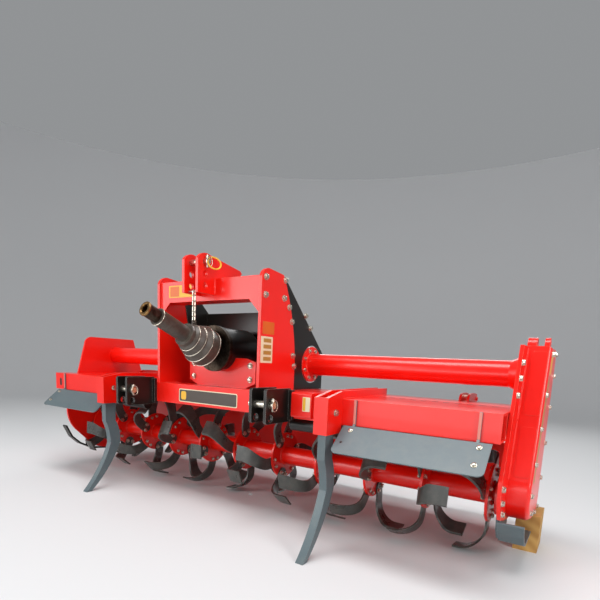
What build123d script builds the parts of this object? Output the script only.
from build123d import *
from math import atan2, cos, degrees, hypot, radians, sin, sqrt
import os

# A tractor-mounted rotary tiller. Millimetres: X across the machine, +X its gear-case side,
# -Y towards the tractor, +Z up from the ground. X = 0 is the middle of the hitch and
# Y = 0 the rotor's axis. Pairs of numbers in an outline are (y, z) unless a comment says (x, z).

# Rotor
AXIS_Z = 250.0          # rotor axis above the ground
SWING_R = 239.0         # reach of the blades' corners
TUBE_R = 44.5
TUBE_WALL = 8.0
FLANGE_R = 112.0
FLANGE_T = 10.0
FLANGE_COUNT = 11
FLANGE_FIRST = -1239.0
FLANGE_LAST = 1184.0
FLANGE_PITCH = (FLANGE_LAST - FLANGE_FIRST) / (FLANGE_COUNT - 1)
HELIX_STEP = 23.0       # turn from one flange to the next, degrees
HELIX_START = -32.5
STUB_R = 30.0
RUN_GAP = 0.06          # radial clearance of a shaft in its bearing

# Blades
BLADE_T = 8.0
BLADE_W = 54.0          # width of the bent strip
BLADE_REACH = {"right": 136.0, "left": 116.0}   # sideways, from the flange's middle
LEFT_TRAIL = 6.0        # turn of the left-reaching blades behind the others, degrees
BLADE_BEND_R = 92.0     # outer radius of the bend
BLADE_ROOT_R = 92.0     # centre of the shank's round end, from the rotor's axis
BLADE_ROOT_TURN = 25.0  # the root leads the tip by this angle
BLADE_BOW = 46.0        # how far the strip bows out between root and tip

# Side plates and gear case
LEFT_IN = -1255.0       # inner face of the left side plate
SIDE_T = 12.0
CASE_IN = 1240.0        # inner face of the gear case
CASE_W = 86.0           # gear case, outside to outside
CASE_OUT = CASE_IN + CASE_W
CASE_WALL = 7.0
CASE_EDGE_R = 14.0
CASE_TOP = 804.0
LEFT_TOP = CASE_TOP + 7.0   # top of the left side plate
CASE_LOW = 152.0        # lowest point of the gear case, at its rear
DRIVE_Y = 75.0          # axis of the cross shaft
DRIVE_Z = AXIS_Z + 452.0
CROSS_R = 50.8
CROSS_WALL = 6.3
BEARING_R = 72.0
BEARING_FLANGE_R = 95.0

# Beam, deck and rear board
BEAM_FRONT = -326.0
BEAM_D = 95.0
BEAM_LOW = 487.0
BEAM_TOP = 582.0
BEAM_WALL = 8.0
BEAM_LEFT = LEFT_IN - 27.0
BEAM_BACK = BEAM_FRONT + BEAM_D
DECK_T = 5.0
HOOD_BEND_Y = 150.0
HINGE_Y = 300.0         # hinge of the rear board
HINGE_Z = 420.0
HINGE_R = 9.0
HINGE_EYE_R = 16.0
HINGE_EYE_W = 60.0
HINGE_LUG_W = 20.0
HINGE_X = (-1000.0, -330.0, 330.0, 1000.0)
BOARD_T = 5.0
BOARD_DROP = 308.0      # from the hinge to the board's lower edge
BOARD_GAP = 8.0         # between the board and each side

# Stays of the rear board
STAY_X = 1025.0
STAY_Y = 230.0          # upper pin, in lugs at the back of the deck
STAY_Z = 588.0
SWIVEL_Y = 432.0        # pin of the swivel block on the board
SWIVEL_Z = 303.0
STAY_R = 10.0
STAY_PIN_R = 8.0
STAY_EYE_R = 20.0
STAY_EYE_W = 24.0
STAY_COLLAR_R = 17.0
STAY_TAIL = 62.0        # of the stay beyond its swivel block
SWIVEL_W = 46.0
SWIVEL_D = 30.0
SWIVEL_H = 34.0
LUG_T = 8.0
SIDE_GAP = 0.3          # beside an eye or a block between its lugs
SLIDE_GAP = 0.8         # round the stay, in its swivel block

# Hitch: category 2
LOW_PIN_Y = -456.0
LOW_PIN_Z = 545.0
LOW_PIN_R = 14.0
PIN_GAP = 0.5           # radial clearance of a hitch pin's hole
MAST_H = 563.0          # from the lower hitch pins up to the top link pin
HITCH_HALF = 412.5      # half of the lower hitch span
HITCH_GAP = 58.0        # between the two plates of a lower hitch point
HITCH_T = 12.0
HITCH_FRONT = -486.0
HITCH_BASE_T = 14.0
HITCH_BASE_MARGIN = 19.0   # of base plate beyond each hitch plate
HOLE_DROP = 52.0        # from the pin to the free hole under it
TOP_PIN_Y = -402.0
TOP_PIN_Z = LOW_PIN_Z + MAST_H
TOP_PIN_R = 12.5
TOP_STEP = 48.0         # between the holes of the top link plates
TOP_GAP = 66.0          # between the two top link plates
TOP_T = 14.0
TOP_MARGIN = 32.0       # of plate above the top hole and below the lowest

# Headstock
HEAD_X = 312.0          # outer face of each headstock plate
HEAD_T = 14.0
HEAD_FRONT = -354.0
HEAD_TOP = TOP_PIN_Z - 28.0
HEAD_IN = HEAD_X - HEAD_T
HEAD_BEAM_TOP = TOP_PIN_Z - 58.0
HEAD_BEAM_H = 92.0
HEAD_BEAM_WALL = 8.0
HEAD_BEAM_FRONT = HEAD_FRONT + 10.0
GUARD_T = 5.0           # black sheet behind each headstock plate
GUARD_HOLE_R = 90.0
PANEL_TOP = 941.0       # black sheet across, between the two side guards

# Gearbox and drive shaft
INPUT_Z = AXIS_Z + 505.0
TUBE_FLANGE_X = 286.0   # joint between the gearbox and each cross tube
TUBE_FLANGE_R = 84.0
TUBE_FLANGE_T = 14.0
BOX_HALF = 130.0
BOX_FRONT = -40.0
BOX_BACK = 210.0
BOX_LOW = 600.0
BOX_TOP = 858.0
BOX_CAP_TOP = 928.0
BOX_WALL = 14.0
NOSE_R = 60.0
NOSE_FRONT = -90.0
SHROUD_R = 97.0         # black guard round the clutch
SHROUD_FRONT = -273.0
SHROUD_T = 5.0
MOUNT_HALF = 150.0      # of the gearbox's foot, across
SADDLE_HALF = 206.0     # of the plate round the guard, in front of the foot
SADDLE_TOP = 716.0
CLUTCH_R = 103.0
CLUTCH_FRONT = -300.0
CLUTCH_RIM_T = 21.0
CLUTCH_BODY_R = 82.0
CLUTCH_BACK = -160.0
SPLINE_R = 17.5
JOINT_Y = -352.0        # middle of the shaft's universal joint
JOINT_HALF = 52.0       # from the joint's middle to the foot of each yoke
SHAFT_TILT = 22.4       # the chain holds the shaft's front end up
SHAFT_R = 27.5
SHAFT_BORE_R = 19.0
SHAFT_END = 344.0       # from the joint to the shaft's front end
GUARD_TUBE_R = 35.0
GUARD_TUBE_END = 284.0
GUARD_CONE_R = 84.0
CROSS_BALL_R = 20.0
CROSS_PIN_R = 11.0
YOKE_IN = 33.0          # inner face of a yoke's ear, from the joint's middle
YOKE_OUT = 48.0
YOKE_HALF = 21.0
CHAIN_Y = -418.0
CHAIN_BAR_Z = TOP_PIN_Z - 2 * TOP_STEP - TOP_MARGIN + 8.0   # at the feet of the top link plates
CHAIN_BAR_R = 4.0
LINK_L = 22.0           # inside length of a link of the chain
LINK_W = 9.0            # inside width
LINK_T = 4.5
LINK_PLAY = 0.2
LUG_HOLE_R = 5.5
LUG_HOLE_LOW = 861.0    # lowest place for the top of the lug's hole, clear of the guard's collar
LINK_PAIRS = int((CHAIN_BAR_Z + CHAIN_BAR_R - LUG_HOLE_LOW) / (LINK_L - LINK_PLAY) / 2)
LINK_COUNT = 2 * LINK_PAIRS     # even: the first link rings the bar, and the last one the lug
GUARD_LUG_T = 5.0

# Tines, deflectors, skids and block
TINE_X = 660.0
TINE_W = 32.0
TINE_D = 60.0           # of the straight shank, front to back
TINE_FRONT = -420.0
CLAMP_FRONT = -436.0
CLAMP_CHEEK = 12.0
CLAMP_LOW = 455.0
CLAMP_HIGH = 590.0
ARM_BACK = 100.0        # rear end of the clamp's cheeks, on the deck
ARM_H = 30.0
DEFLECTOR_IN = 707.0
DEFLECTOR_OUT = 1221.0
DEFLECTOR_CORNER_R = 22.0
RIB_X = (745.0, 1177.0)
RIB_T = 9.0
RIB_PROUD = 8.0         # of each rib's upper part, on the beam
RIB_BACK = BEAM_FRONT + 60.0
PAD_GAP = 1.5           # from a hitch point's base plate to the bracket beside it
PAD_W = 92.0
PAD_IN = HITCH_HALF + HITCH_GAP / 2 + HITCH_T + HITCH_BASE_MARGIN + PAD_GAP
PAD_OUT = PAD_IN + PAD_W
PAD_BACK = 60.0         # length of its top on the beam
PAD_D = 24.0
PAD_LOW = 495.0
PAD_HIGH = 594.0
BAR_R = 26.0            # black bars under the beam
BAR_Y = -300.0
SKID_T = 10.0
SKID_W = 24.0
SHOE_W = 86.0
BLOCK_OUT = CASE_OUT + 24.0
BLOCK_W = 88.0
BLOCK_FRONT = 140.0
BLOCK_D = 150.0


def save(name, shape):
    """Writes one node of the part."""
    export_step(shape, "parts/" + name + ".step")


def outline(start, *moves):
    """A closed face. A move is a line's end, or the middle and the end of an arc."""
    edges, here = [], start
    for move in moves:
        if isinstance(move[0], tuple):
            edges.append(ThreePointArc(here, *move))
            here = move[1]
        else:
            edges.append(Line(here, move))
            here = move
    edges.append(Line(here, start))
    return make_face(edges)


def across(face, x_low, thickness):
    """Extrudes a face drawn in (y, z) along X."""
    return extrude(Plane.YZ.offset(x_low) * face, thickness, dir=(1, 0, 0))


def plate_x(points, x_low, thickness):
    """A flat plate square to X from its corners."""
    return across(Polygon(*points, align=None), x_low, thickness)


def block(x, y, z):
    """A box from its low and high limits on each axis."""
    size = [b - a for a, b in (x, y, z)]
    middle = [(a + b) / 2 for a, b in (x, y, z)]
    return Pos(*middle) * Box(*size)


def rod_x(radius, x_low, x_high, y, z):
    """A round bar along X."""
    return Pos((x_low + x_high) / 2, y, z) * Rot(0, 90, 0) * Cylinder(radius, x_high - x_low)


def rod_y(radius, y_low, y_high, x, z):
    """A round bar along Y."""
    return Pos(x, (y_low + y_high) / 2, z) * Rot(90, 0, 0) * Cylinder(radius, y_high - y_low)


os.makedirs("parts", exist_ok=True)

# ---- Beam, deck and hood ----
main_beam = block((BEAM_LEFT, CASE_IN), (BEAM_FRONT, BEAM_BACK), (BEAM_LOW, BEAM_TOP))
main_beam -= block((BEAM_LEFT + BEAM_WALL, CASE_IN + 1), (BEAM_FRONT + BEAM_WALL, BEAM_BACK - BEAM_WALL),
                   (BEAM_LOW + BEAM_WALL, BEAM_TOP - BEAM_WALL))
save("main_beam", main_beam)

slope_y = HINGE_Y - HOOD_BEND_Y
slope_z = BEAM_TOP - HINGE_Z
slope = hypot(slope_y, slope_z)
inward = (-slope_z / slope * DECK_T, -slope_y / slope * DECK_T)
save("deck", block((LEFT_IN, CASE_IN), (BEAM_BACK, HOOD_BEND_Y), (BEAM_TOP - DECK_T, BEAM_TOP)))
hood_back = HINGE_Y - HINGE_EYE_R
hood_end = (hood_back, BEAM_TOP - slope_z * (hood_back - HOOD_BEND_Y) / slope_y)
hood = plate_x([(HOOD_BEND_Y, BEAM_TOP), hood_end, (hood_end[0] + inward[0], hood_end[1] + inward[1]),
                (HOOD_BEND_Y, BEAM_TOP + inward[1] + inward[0] * slope_z / slope_y)],
               LEFT_IN, CASE_IN - LEFT_IN)
save("hood", hood)

# ---- Side plates ----
side_front = ((-139, CASE_TOP - 3), (-204, 567), (-275, 360), (-215, AXIS_Z - 36))
left_face = outline((-96, LEFT_TOP), ((-131, LEFT_TOP - 11), (-149, LEFT_TOP - 46)), side_front[1],
                    side_front[2], ((-262, 282), side_front[3]), (-114, 116), ((0, 84), (114, 116)),
                    (215, AXIS_Z - 36), (330, HINGE_Z), (209, LEFT_TOP))
side_plate = across(left_face, LEFT_IN - SIDE_T, SIDE_T)
side_plate -= block((BEAM_LEFT, LEFT_IN + 1), (BEAM_FRONT, BEAM_BACK), (BEAM_LOW - 1, BEAM_TOP))
side_plate -= rod_x(STUB_R + 5, LEFT_IN - SIDE_T - 1, LEFT_IN + 1, 0, AXIS_Z)
save("side_plate_left", side_plate)

bearing = rod_x(BEARING_R, LEFT_IN - SIDE_T - 58, LEFT_IN - SIDE_T, 0, AXIS_Z)
bearing += rod_x(BEARING_FLANGE_R, LEFT_IN - SIDE_T - 14, LEFT_IN - SIDE_T, 0, AXIS_Z)
bearing -= rod_x(STUB_R + RUN_GAP, LEFT_IN - SIDE_T - 50, LEFT_IN - SIDE_T + 1, 0, AXIS_Z)
save("bearing_left", bearing)

case_back = ((209, CASE_TOP - 3), (209, CASE_LOW))
case_plate = across(outline(side_front[0], side_front[1], side_front[2], ((-262, 282), side_front[3]),
                            (-150, 196), (-60, 176), case_back[1], case_back[0]), CASE_IN, SIDE_T)
case_plate -= rod_x(STUB_R + 5, CASE_IN - 1, CASE_IN + SIDE_T + 1, 0, AXIS_Z)
save("case_plate", case_plate)

# ---- Gear case: a dished cover on the right side plate ----
cover_in = CASE_IN + SIDE_T
cover_face = outline((-22, CASE_TOP), (-90, 546), (-138, 340), ((-140, 262), (-78, 192)), (30, 166),
                     (205, CASE_LOW), (205, CASE_TOP - 24), ((198, CASE_TOP - 7), (181, CASE_TOP)))
cover = across(cover_face, cover_in, CASE_OUT - cover_in)
cover = fillet(cover.edges().group_by(Axis.X)[-1], CASE_EDGE_R)
cover -= across(offset(cover_face, -CASE_WALL), cover_in - 1, CASE_OUT - CASE_WALL - cover_in + 1)
rim = across(cover_face, cover_in, CASE_WALL) - across(offset(cover_face, -26), cover_in - 1, CASE_WALL + 2)
cover += rim
save("case_cover", cover)

ears = None
for low, width in ((CASE_IN + 6, 30), (CASE_OUT - 26, 16)):
    ear = across(outline((-14, CASE_TOP), ((16, CASE_TOP + 30), (46, CASE_TOP))), low, width)
    ear -= rod_x(11, low - 1, low + width + 1, 16, CASE_TOP + 13)
    ears = ear if ears is None else ears + ear
save("case_ears", ears)

hub = rod_x(80, CASE_IN - 34, CASE_IN, 0, AXIS_Z)
hub -= rod_x(STUB_R + RUN_GAP, CASE_IN - 35, CASE_IN + 1, 0, AXIS_Z)
save("bearing_right", hub)

# ---- Rotor ----
rotor = rod_x(TUBE_R, FLANGE_FIRST, FLANGE_LAST, 0, AXIS_Z)
rotor -= rod_x(TUBE_R - TUBE_WALL, FLANGE_FIRST + 40, FLANGE_LAST - 40, 0, AXIS_Z)
rotor += rod_x(STUB_R, LEFT_IN - SIDE_T - 40, FLANGE_FIRST + 1, 0, AXIS_Z)
rotor += rod_x(STUB_R, FLANGE_LAST - 1, CASE_IN + SIDE_T + 20, 0, AXIS_Z)
flange_x = [FLANGE_FIRST + number * FLANGE_PITCH for number in range(FLANGE_COUNT)]
for x in flange_x:
    rotor += (rod_x(FLANGE_R, x - FLANGE_T / 2, x + FLANGE_T / 2, 0, AXIS_Z)
              - rod_x(TUBE_R - 1, x - FLANGE_T, x + FLANGE_T, 0, AXIS_Z))
save("rotor", rotor)


def polar(radius, angle):
    """A (y, z) point from its radius and its angle in degrees."""
    return (radius * cos(radians(angle)), radius * sin(radians(angle)))


def blade_solid(reach):
    """One C-shaped blade whose wing points along +Y and reaches towards +X, at the rotor's axis.

    It is the strip's curved outline, seen along the rotor, cut to its bend, seen along the strip.
    """
    foot = FLANGE_T / 2
    wing = sqrt(SWING_R ** 2 - (BLADE_W / 2) ** 2)
    bend_r = BLADE_BEND_R
    inner_r = bend_r - BLADE_T
    centre_x, centre_y = foot + bend_r, wing - bend_r
    out_mid = (centre_x - bend_r * sin(radians(45)), centre_y + bend_r * cos(radians(45)))
    in_mid = (centre_x - inner_r * sin(radians(45)), centre_y + inner_r * cos(radians(45)))
    bend = outline((foot, 0), (foot, centre_y), (out_mid, (centre_x, wing)), (reach, wing),
                   (reach, wing - BLADE_T), (centre_x, wing - BLADE_T),
                   (in_mid, (foot + BLADE_T, centre_y)), (foot + BLADE_T, 0))
    bent = extrude(bend, SWING_R, both=True)
    root = polar(BLADE_ROOT_R, BLADE_ROOT_TURN)
    strip_line = ThreePointArc(root, ((root[0] + wing) / 2, BLADE_BOW), (wing + 8, -2))
    strip_face = make_face(offset(strip_line, BLADE_W / 2, side=Side.BOTH))
    return bent & across(strip_face, 0, reach + 1)


right_blade = blade_solid(BLADE_REACH["right"])
left_blade = mirror(blade_solid(BLADE_REACH["left"]), Plane.YZ)
blades = {"blades_right": [], "blades_left": []}
for number, x in enumerate(flange_x):
    for arm in range(6):
        towards_right = arm % 2 == 0
        if x == flange_x[0] and not towards_right:
            continue
        if x == flange_x[-1] and towards_right:
            continue
        turn = HELIX_START + 60 * arm + HELIX_STEP * number
        if towards_right:
            blades["blades_right"].append(Pos(x, 0, AXIS_Z) * Rot(turn, 0, 0) * right_blade)
        else:
            blades["blades_left"].append(Pos(x, 0, AXIS_Z) * Rot(turn + LEFT_TRAIL, 0, 0) * left_blade)
for name, pieces in blades.items():
    save(name, Compound(children=pieces))

# ---- Skids and the block under the gear case ----
skid_curve = Polyline((-285, 250), (-250, 180), (-197, 132), (-114, 91), (3, 77), (130, 81), (250, 115))
skid_line = make_face(offset(skid_curve, SKID_T / 2, side=Side.BOTH))
skid = across(skid_line, LEFT_IN - SIDE_T - SKID_W, SKID_W + SIDE_T)
for y_low, z_low in ((-150, 102), (110, 76)):
    skid += block((LEFT_IN - SIDE_T - 8, LEFT_IN - SIDE_T), (y_low, y_low + 40), (z_low, z_low + 90))
skid -= plate_x([(-120, 122), (0, 90), (120, 122), (0, 260)], LEFT_IN - SIDE_T - 1, SIDE_T + 2)
save("skid_left", skid)

shoe_curve = Polyline((-166, 188), (-136, 146), (-98, 108), (-40, 88), (120, 88))
shoe_line = make_face(offset(shoe_curve, SKID_T / 2, side=Side.BOTH))
shoe = across(shoe_line, CASE_IN - 4, SHOE_W)
shoe += plate_x([(-154, 222), (-104, 214), (-88, 168), (60, 158), (60, 90), (-40, 90), (-98, 110),
                 (-134, 150)], CASE_IN - SIDE_T, SIDE_T)
save("skid_right", shoe)

save("timber_block", block((BLOCK_OUT - BLOCK_W, BLOCK_OUT), (BLOCK_FRONT, BLOCK_FRONT + BLOCK_D),
                           (0, CASE_LOW)))

# ---- Cross tubes and gearbox ----
for side, sign, far in (("left", -1, LEFT_IN), ("right", 1, CASE_IN)):
    low, high = sorted((sign * TUBE_FLANGE_X, far))
    tube = rod_x(CROSS_R, low, high, DRIVE_Y, DRIVE_Z)
    flange_ends = sorted((sign * TUBE_FLANGE_X, sign * (TUBE_FLANGE_X + TUBE_FLANGE_T)))
    tube += rod_x(TUBE_FLANGE_R, *flange_ends, DRIVE_Y, DRIVE_Z)
    if side == "right":
        tube += rod_x(82, CASE_IN - 14, CASE_IN, DRIVE_Y, DRIVE_Z)
        tube += Pos(CASE_IN - 32, DRIVE_Y, DRIVE_Z) * Rot(0, 90, 0) * Cone(CROSS_R, 68, 36)
    tube -= rod_x(CROSS_R - CROSS_WALL, low - 1, high + 1, DRIVE_Y, DRIVE_Z)
    save("cross_tube_" + side, tube)

gearbox = block((-BOX_HALF, BOX_HALF), (BOX_FRONT, BOX_BACK), (BOX_LOW, BOX_TOP))
gearbox = chamfer(gearbox.edges().filter_by(Axis.Z), 30)
gearbox = chamfer(gearbox.edges().group_by(Axis.Z)[-1], 12)
gearbox += block((-92, 92), (BOX_FRONT + 26, BOX_BACK - 50), (BOX_TOP, BOX_CAP_TOP))
gearbox += rod_x(68, -TUBE_FLANGE_X, TUBE_FLANGE_X, DRIVE_Y, DRIVE_Z)
for low in (-TUBE_FLANGE_X, TUBE_FLANGE_X - TUBE_FLANGE_T):
    gearbox += rod_x(TUBE_FLANGE_R - 2, low, low + TUBE_FLANGE_T, DRIVE_Y, DRIVE_Z)
gearbox += rod_y(NOSE_R, NOSE_FRONT, BOX_FRONT, 0, INPUT_Z)
gearbox -= block((-BOX_HALF + BOX_WALL, BOX_HALF - BOX_WALL),
                 (BOX_FRONT + BOX_WALL + 20, BOX_BACK - BOX_WALL - 20),
                 (BOX_LOW + BOX_WALL, BOX_TOP - BOX_WALL - 12))
gearbox -= rod_y(SPLINE_R + RUN_GAP, NOSE_FRONT - 1, BOX_FRONT - 10, 0, INPUT_Z)
save("gearbox", gearbox)

shroud = rod_y(SHROUD_R, SHROUD_FRONT, NOSE_FRONT, 0, INPUT_Z)
shroud -= rod_y(SHROUD_R - SHROUD_T, SHROUD_FRONT - 1, NOSE_FRONT - SHROUD_T, 0, INPUT_Z)
shroud -= rod_y(SPLINE_R + 8, NOSE_FRONT - SHROUD_T - 1, NOSE_FRONT + 1, 0, INPUT_Z)
save("gearbox_guard", shroud)

saddle_hole = SHROUD_R + SIDE_GAP
mount = block((-MOUNT_HALF, MOUNT_HALF), (BEAM_BACK + 1, BOX_BACK), (BEAM_TOP, BOX_LOW))
saddle_face = Polygon((-MOUNT_HALF, BEAM_TOP), (MOUNT_HALF, BEAM_TOP), (SADDLE_HALF, BEAM_TOP + 24),
                      (SADDLE_HALF, SADDLE_TOP - 16), (MOUNT_HALF, SADDLE_TOP),
                      (-MOUNT_HALF, SADDLE_TOP), (-SADDLE_HALF, SADDLE_TOP - 16),
                      (-SADDLE_HALF, BEAM_TOP + 24), align=None)
saddle = extrude(Plane.XZ.offset(245) * saddle_face, 14, dir=(0, 1, 0))
saddle -= rod_y(saddle_hole, -250, -228, 0, INPUT_Z)
mount += saddle
save("gearbox_mount", mount)


# ---- Drive shaft ----
def yoke(ears_on):
    """A fork that opens towards +Z from a joint's middle, with its two ears on X or on Y."""
    fork = Pos(0, 0, -JOINT_HALF - 7) * Cylinder(YOKE_OUT, 14)
    for sign in (-1, 1):
        middle = sign * (YOKE_IN + YOKE_OUT) / 2
        width = YOKE_OUT - YOKE_IN
        ear = Pos(middle, 0, -JOINT_HALF / 2) * Box(width, 2 * YOKE_HALF, JOINT_HALF)
        ear += Pos(middle, 0, 0) * Rot(0, 90, 0) * Cylinder(YOKE_HALF, width)
        fork += ear
    return fork if ears_on == "X" else Rot(0, 0, 90) * fork


to_clutch = Pos(0, JOINT_Y, INPUT_Z) * Rot(90, 0, 0)
clutch = to_clutch * yoke("Y")
clutch += to_clutch * Sphere(CROSS_BALL_R)
clutch += to_clutch * Rot(90, 0, 0) * Cylinder(CROSS_PIN_R, 2 * YOKE_OUT - 10)
clutch += rod_y(CLUTCH_R, CLUTCH_FRONT, CLUTCH_FRONT + CLUTCH_RIM_T, 0, INPUT_Z)
clutch += rod_y(CLUTCH_BODY_R, CLUTCH_FRONT + CLUTCH_RIM_T, CLUTCH_BACK, 0, INPUT_Z)
clutch += rod_y(SPLINE_R, CLUTCH_BACK, BOX_FRONT - 20, 0, INPUT_Z)
save("clutch", clutch)

to_shaft = Pos(0, JOINT_Y, INPUT_Z) * Rot(90 - SHAFT_TILT, 0, 0)
foot = JOINT_HALF + 14
shaft = to_shaft * Rot(180, 0, 0) * yoke("X")
stub = YOKE_OUT - 5 - CROSS_BALL_R - SIDE_GAP
for sign in (-1, 1):
    middle = sign * (CROSS_BALL_R + SIDE_GAP + stub / 2)
    shaft += to_shaft * Pos(middle, 0, 0) * Rot(0, 90, 0) * Cylinder(CROSS_PIN_R, stub)
shaft += to_shaft * Pos(0, 0, (foot + SHAFT_END) / 2) * Cylinder(SHAFT_R, SHAFT_END - foot)
shaft -= to_shaft * Pos(0, 0, SHAFT_END - 30) * Cylinder(SHAFT_BORE_R, 62)
save("drive_shaft", shaft)

bore = SHAFT_R + SIDE_GAP
cone = [(bore, 100), (bore, GUARD_TUBE_END), (GUARD_TUBE_R, GUARD_TUBE_END), (GUARD_TUBE_R, 132), (50, 132),
        (50, 112), (60, 104), (60, 92), (71, 76), (71, 62), (GUARD_CONE_R, 44), (GUARD_CONE_R, -10),
        (GUARD_CONE_R - 4, -10), (GUARD_CONE_R - 4, 42), (54, 78), (54, 100)]
guard = to_shaft * revolve(Plane.XZ * Polygon(*cone, align=None), Axis.Z)
hole_top = CHAIN_BAR_Z + CHAIN_BAR_R - LINK_COUNT * (LINK_L - LINK_PLAY)
hang = sqrt(LUG_HOLE_R ** 2 - (LINK_T / 2) ** 2)
hole_z = hole_top - hang
lug_low = LUG_HOLE_LOW - hang - 19.8
lug = plate_x([(CHAIN_Y - 13, lug_low), (CHAIN_Y - 10, hole_z + 12), (CHAIN_Y + 10, hole_z + 12),
               (CHAIN_Y + 16, lug_low - 4)], -GUARD_LUG_T / 2, GUARD_LUG_T)
guard += lug - rod_x(LUG_HOLE_R, -GUARD_LUG_T, GUARD_LUG_T, CHAIN_Y, hole_z)
save("shaft_guard", guard)

# ---- Headstock ----
head_face = outline((HEAD_FRONT, BEAM_TOP), (HEAD_FRONT, HEAD_TOP - 35),
                    ((HEAD_FRONT + 15, HEAD_TOP - 12), (HEAD_FRONT + 54, HEAD_TOP)), (-206, HEAD_TOP - 8),
                    (-197, HEAD_TOP - 18), ((-128, HEAD_TOP - 185), (-95, HEAD_TOP - 370)), (-95, BEAM_TOP))
guard_back = DRIVE_Y + GUARD_HOLE_R + 14
guard_face = outline((-212, HEAD_TOP - 26), (-158, HEAD_TOP - 26), (guard_back - 29, DRIVE_Z + 78),
                     ((guard_back - 7, DRIVE_Z + 54), (guard_back, DRIVE_Z + 26)),
                     (guard_back, BEAM_TOP), (-120, BEAM_TOP))
for side, head_low, guard_low in (("left", -HEAD_X, -HEAD_IN), ("right", HEAD_IN, HEAD_IN - GUARD_T)):
    save("headstock_" + side, across(head_face, head_low, HEAD_T))
    sheet = across(guard_face, guard_low, GUARD_T)
    sheet -= rod_x(GUARD_HOLE_R, guard_low - 1, guard_low + GUARD_T + 1, DRIVE_Y, DRIVE_Z)
    save("side_guard_" + side, sheet)

inner = HEAD_IN - GUARD_T
save("guard_panel", block((-inner, inner), (BOX_FRONT - GUARD_T, BOX_FRONT), (BOX_TOP - 20, PANEL_TOP)))

head_beam = block((-HEAD_IN, HEAD_IN), (HEAD_BEAM_FRONT, HEAD_BEAM_FRONT + HEAD_BEAM_H),
                  (HEAD_BEAM_TOP - HEAD_BEAM_H, HEAD_BEAM_TOP))
head_beam -= block((-HEAD_IN - 1, HEAD_IN + 1),
                   (HEAD_BEAM_FRONT + HEAD_BEAM_WALL, HEAD_BEAM_FRONT + HEAD_BEAM_H - HEAD_BEAM_WALL),
                   (HEAD_BEAM_TOP - HEAD_BEAM_H + HEAD_BEAM_WALL, HEAD_BEAM_TOP - HEAD_BEAM_WALL))
beam_under = HEAD_BEAM_TOP - HEAD_BEAM_H
for sign in (-1, 1):
    gusset = Polygon((sign * HEAD_IN, beam_under), (sign * (HEAD_IN - 60), beam_under),
                     (sign * HEAD_IN, beam_under - 60), align=None)
    head_beam += extrude(Plane.XZ.offset(-HEAD_BEAM_FRONT) * gusset, 8, dir=(0, 1, 0))
save("head_beam", head_beam)

# Top link plates, which lap over the head beam
low_hole = TOP_PIN_Z - 2 * TOP_STEP
plate_front = TOP_PIN_Y - 42
beam_rear = HEAD_BEAM_FRONT + HEAD_BEAM_H
top_face = outline((plate_front, low_hole - TOP_MARGIN), (plate_front, TOP_PIN_Z + 8),
                   ((TOP_PIN_Y - 22, TOP_PIN_Z + 28), (TOP_PIN_Y + 24, TOP_PIN_Z + TOP_MARGIN)),
                   (TOP_PIN_Y + 222, TOP_PIN_Z + 2), (TOP_PIN_Y + 234, TOP_PIN_Z - 8),
                   (beam_rear + 40, HEAD_BEAM_TOP),
                   (HEAD_BEAM_FRONT, HEAD_BEAM_TOP), (HEAD_BEAM_FRONT, low_hole - TOP_MARGIN))
top_link = None
for low in (-TOP_GAP / 2 - TOP_T, TOP_GAP / 2):
    ear = across(top_face, low, TOP_T)
    for step in range(3):
        ear -= rod_x(TOP_PIN_R + PIN_GAP, low - 1, low + TOP_T + 1, TOP_PIN_Y, TOP_PIN_Z - step * TOP_STEP)
    top_link = ear if top_link is None else top_link + ear
save("top_link_bracket", top_link)
save("top_pin", rod_x(TOP_PIN_R, -TOP_GAP / 2 - TOP_T - 12, TOP_GAP / 2 + TOP_T + 20, TOP_PIN_Y, TOP_PIN_Z))

# Chain that holds up the shaft's guard, from a bar between the top link plates
chain = rod_x(CHAIN_BAR_R, -TOP_GAP / 2, TOP_GAP / 2, CHAIN_Y, CHAIN_BAR_Z)
ring = extrude(SlotOverall(LINK_L + 2 * LINK_T, LINK_W + 2 * LINK_T, rotation=90)
               - SlotOverall(LINK_L, LINK_W, rotation=90), LINK_T / 2, both=True)
ring = Rot(90, 0, 0) * ring
link_z = CHAIN_BAR_Z + CHAIN_BAR_R + LINK_PLAY / 2 - LINK_L / 2
links = [chain]
for number in range(LINK_COUNT):
    links.append(Pos(0, CHAIN_Y, link_z) * Rot(0, 0, 90 if number % 2 == 0 else 0) * ring)
    link_z -= LINK_L - LINK_PLAY
save("guard_chain", Compound(children=links))

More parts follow.
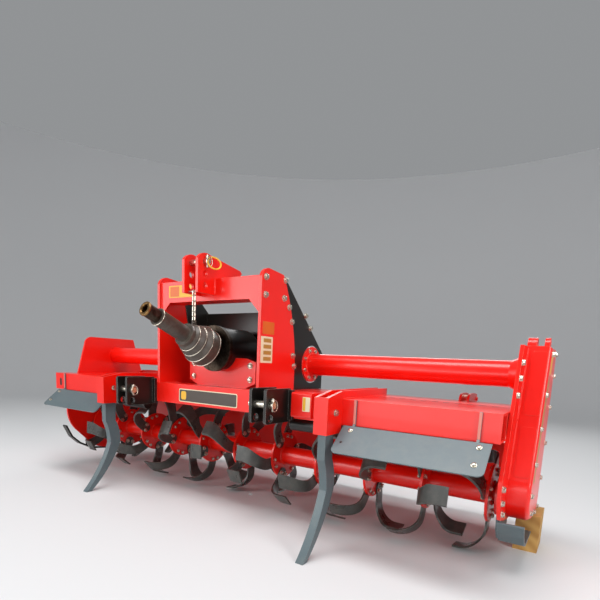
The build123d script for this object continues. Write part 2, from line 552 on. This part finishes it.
# ---- Lower hitch points ----
hitch_face = outline((HITCH_FRONT, LOW_PIN_Z - 66), (HITCH_FRONT, LOW_PIN_Z + 52),
                     ((HITCH_FRONT + 3, LOW_PIN_Z + 58), (HITCH_FRONT + 10, LOW_PIN_Z + 61)),
                     (BEAM_FRONT, LOW_PIN_Z + 61), (BEAM_FRONT, LOW_PIN_Z - 73),
                     (HITCH_FRONT + 8, LOW_PIN_Z - 73))
for side, sign in (("left", -1), ("right", 1)):
    hitch = None
    for beside in (-HITCH_GAP / 2 - HITCH_T, HITCH_GAP / 2):
        low = sign * HITCH_HALF + beside
        ear = across(hitch_face, low, HITCH_T)
        for drop in (0, HOLE_DROP):
            ear -= rod_x(LOW_PIN_R + PIN_GAP, low - 1, low + HITCH_T + 1, LOW_PIN_Y, LOW_PIN_Z - drop)
        hitch = ear if hitch is None else hitch + ear
    base = HITCH_GAP / 2 + HITCH_T + HITCH_BASE_MARGIN
    hitch += block((sign * HITCH_HALF - base, sign * HITCH_HALF + base),
                   (BEAM_FRONT - HITCH_BASE_T, BEAM_FRONT), (LOW_PIN_Z - 65, LOW_PIN_Z + 55))
    save("hitch_" + side, hitch)
    reach = HITCH_GAP / 2 + HITCH_T + 16
    save("hitch_pin_" + side, rod_x(LOW_PIN_R, sign * HITCH_HALF - reach, sign * HITCH_HALF + reach,
                                    LOW_PIN_Y, LOW_PIN_Z))

# ---- Track tines, their clamps and the deflectors ----
shank_back = TINE_FRONT + TINE_D
tine_face = outline((TINE_FRONT, 560), (TINE_FRONT + 2, 360), ((TINE_FRONT + 24, 290), (TINE_FRONT + 28, 240)),
                    ((-448, 116), (-535, 0)), (-508, 0), ((-402, 118), (shank_back + 26, 240)),
                    ((shank_back + 24, 296), (shank_back, 360)), (shank_back, 560))
clamp_back = shank_back + CLAMP_CHEEK
for side, sign in (("left", -1), ("right", 1)):
    middle = sign * TINE_X
    half = TINE_W / 2
    save("tine_" + side, across(tine_face, middle - half, TINE_W))
    clamp = block((middle - half - CLAMP_CHEEK, middle + half + CLAMP_CHEEK), (CLAMP_FRONT, BEAM_FRONT),
                  (CLAMP_LOW, CLAMP_HIGH))
    clamp -= block((middle - half, middle + half), (TINE_FRONT, shank_back), (CLAMP_LOW - 1, CLAMP_HIGH + 1))
    for low in (middle - half - CLAMP_CHEEK, middle + half):
        clamp += plate_x([(CLAMP_FRONT, CLAMP_HIGH - 30), (CLAMP_FRONT, CLAMP_HIGH),
                          (BEAM_FRONT, BEAM_TOP + ARM_H), (ARM_BACK, BEAM_TOP + ARM_H), (ARM_BACK, BEAM_TOP),
                          (BEAM_FRONT, BEAM_TOP), (BEAM_FRONT, CLAMP_HIGH - 30)], low, CLAMP_CHEEK)
    save("tine_clamp_" + side, clamp)
    low, high = sorted((sign * DEFLECTOR_IN, sign * DEFLECTOR_OUT))
    deflector = plate_x([(-344, 488), (-443, 402), (-439.7, 398.2), (-340.7, 484.2)], low, high - low)
    corners = deflector.edges().filter_by(lambda edge: edge.length < 10).sort_by(Axis.Z)[:2]
    deflector = fillet(corners, DEFLECTOR_CORNER_R)
    for x in RIB_X:
        deflector += plate_x([(BEAM_FRONT - RIB_PROUD, BEAM_TOP), (BEAM_FRONT - RIB_PROUD, 494), (-342, 486),
                              (-401, 434), (-330, 440), (RIB_BACK, 470), (RIB_BACK, BEAM_LOW),
                              (BEAM_FRONT, BEAM_LOW), (BEAM_FRONT, BEAM_TOP)], sign * x - RIB_T / 2, RIB_T)
    save("deflector_" + side, deflector)

# ---- Brackets on the beam beside the hitch points, and the bars under it ----
for side, sign in (("left", -1), ("right", 1)):
    low, high = sorted((sign * PAD_IN, sign * PAD_OUT))
    pad = block((low, high), (BEAM_FRONT - PAD_D, BEAM_FRONT), (PAD_LOW, PAD_HIGH))
    pad += block((low, high), (BEAM_FRONT, BEAM_FRONT + PAD_BACK), (BEAM_TOP, PAD_HIGH))
    save("beam_pad_" + side, fillet(pad.edges().filter_by(Axis.X).group_by(Axis.Y)[0], 8))
    ends = sorted((sign * (HITCH_HALF + HITCH_GAP / 2 + HITCH_T + SIDE_GAP),
                   sign * (TINE_X - TINE_W / 2 - CLAMP_CHEEK - SIDE_GAP)))
    save("under_bar_" + side, rod_x(BAR_R, *ends, BAR_Y, BEAM_LOW - BAR_R - SIDE_GAP))

# ---- Rear board and its stays ----
board_top = (HINGE_Y + HINGE_EYE_R, HINGE_Z - 20)
board_knee = (HINGE_Y + 128, HINGE_Z - BOARD_DROP + 50)
board_low = (HINGE_Y + 163, HINGE_Z - BOARD_DROP)
board_line = make_face(offset(Polyline(board_top, board_knee, board_low), BOARD_T / 2, side=Side.BOTH))
board = across(board_line, LEFT_IN + BOARD_GAP, CASE_IN - LEFT_IN - 2 * BOARD_GAP)
for side in (-1, 1):
    for edge in (-1, 1):
        inner = SWIVEL_W / 2 + SIDE_GAP
        low = min(side * STAY_X + edge * inner, side * STAY_X + edge * (inner + LUG_T))
        lug = plate_x([(HINGE_Y + 44, HINGE_Z - 88), (SWIVEL_Y - 6, SWIVEL_Z + 22),
                       (SWIVEL_Y + 14, SWIVEL_Z + 16), (SWIVEL_Y + 20, SWIVEL_Z),
                       (SWIVEL_Y + 12, SWIVEL_Z - 18), (HINGE_Y + 84, HINGE_Z - 175)], low, LUG_T)
        board += lug - rod_x(STAY_PIN_R + RUN_GAP, low - 1, low + LUG_T + 1, SWIVEL_Y, SWIVEL_Z)
eye_half = HINGE_EYE_W / 2
for x in HINGE_X:
    board += plate_x([(HINGE_Y - 5, HINGE_Z - 13), (HINGE_Y + 13, HINGE_Z - 5), (HINGE_Y + 26, HINGE_Z - 34),
                      (HINGE_Y + 18, HINGE_Z - 38)], x - eye_half, HINGE_EYE_W)
    board += rod_x(HINGE_EYE_R, x - eye_half, x + eye_half, HINGE_Y, HINGE_Z)
    board -= rod_x(HINGE_R + RUN_GAP, x - eye_half - 1, x + eye_half + 1, HINGE_Y, HINGE_Z)
save("rear_board", board)

hinges = None
lug_in = eye_half + SIDE_GAP
for x in HINGE_X:
    hinge = rod_x(HINGE_R, x - lug_in - HINGE_LUG_W - 8, x + lug_in + HINGE_LUG_W + 8, HINGE_Y, HINGE_Z)
    for low in (x - lug_in - HINGE_LUG_W, x + lug_in):
        hinge += plate_x([(hood_end[0] - 30, hood_end[1] + 30 * slope_z / slope_y), hood_end,
                          (HINGE_Y - 16, HINGE_Z - 8), (HINGE_Y - 8, HINGE_Z - 15),
                          (HINGE_Y + 8, HINGE_Z - 15), (HINGE_Y + 16, HINGE_Z),
                          (HINGE_Y + 8, HINGE_Z + 15)], low, HINGE_LUG_W)
    hinges = hinge if hinges is None else hinges + hinge
save("board_hinges", hinges)

stay_angle = degrees(atan2(SWIVEL_Z - STAY_Z, SWIVEL_Y - STAY_Y))
stay_length = hypot(SWIVEL_Z - STAY_Z, SWIVEL_Y - STAY_Y)
for side, sign in (("left", -1), ("right", 1)):
    to_stay = Pos(sign * STAY_X, STAY_Y, STAY_Z) * Rot(stay_angle, 0, 0)
    stay = to_stay * rod_y(STAY_R, STAY_EYE_R / 2, stay_length + STAY_TAIL, 0, 0)
    stay += to_stay * rod_x(STAY_EYE_R, -STAY_EYE_W / 2, STAY_EYE_W / 2, 0, 0)
    stay -= to_stay * rod_x(STAY_PIN_R + RUN_GAP, -STAY_EYE_W, STAY_EYE_W, 0, 0)
    collar = stay_length + SWIVEL_D / 2 + 1.3
    stay += to_stay * rod_y(STAY_COLLAR_R, collar, collar + 14, 0, 0)
    save("stay_" + side, stay)
    swivel = to_stay * Pos(0, stay_length, 0) * Box(SWIVEL_W, SWIVEL_D, SWIVEL_H)
    reach = SWIVEL_W / 2 + SIDE_GAP + LUG_T + 6
    swivel += to_stay * rod_x(STAY_PIN_R, -reach, reach, stay_length, 0)
    swivel -= to_stay * rod_y(STAY_R + SLIDE_GAP, stay_length - SWIVEL_D, stay_length + SWIVEL_D, 0, 0)
    save("swivel_" + side, swivel)
    reach = STAY_EYE_W / 2 + SIDE_GAP + LUG_T + 6
    lugs = rod_x(STAY_PIN_R, sign * STAY_X - reach, sign * STAY_X + reach, STAY_Y, STAY_Z)
    for edge in (-1, 1):
        inner = STAY_EYE_W / 2 + SIDE_GAP
        low = min(sign * STAY_X + edge * inner, sign * STAY_X + edge * (inner + LUG_T))
        lug_face = outline((90, BEAM_TOP), ((104, BEAM_TOP + 24), (128, BEAM_TOP + 32)),
                           (190, BEAM_TOP + 32), (STAY_Y + 6, STAY_Z + 21), (STAY_Y + 21, STAY_Z),
                           (STAY_Y + 12, STAY_Z - 18), (HOOD_BEND_Y, BEAM_TOP))
        lugs += across(lug_face, low, LUG_T)
    save("stay_lugs_" + side, lugs)
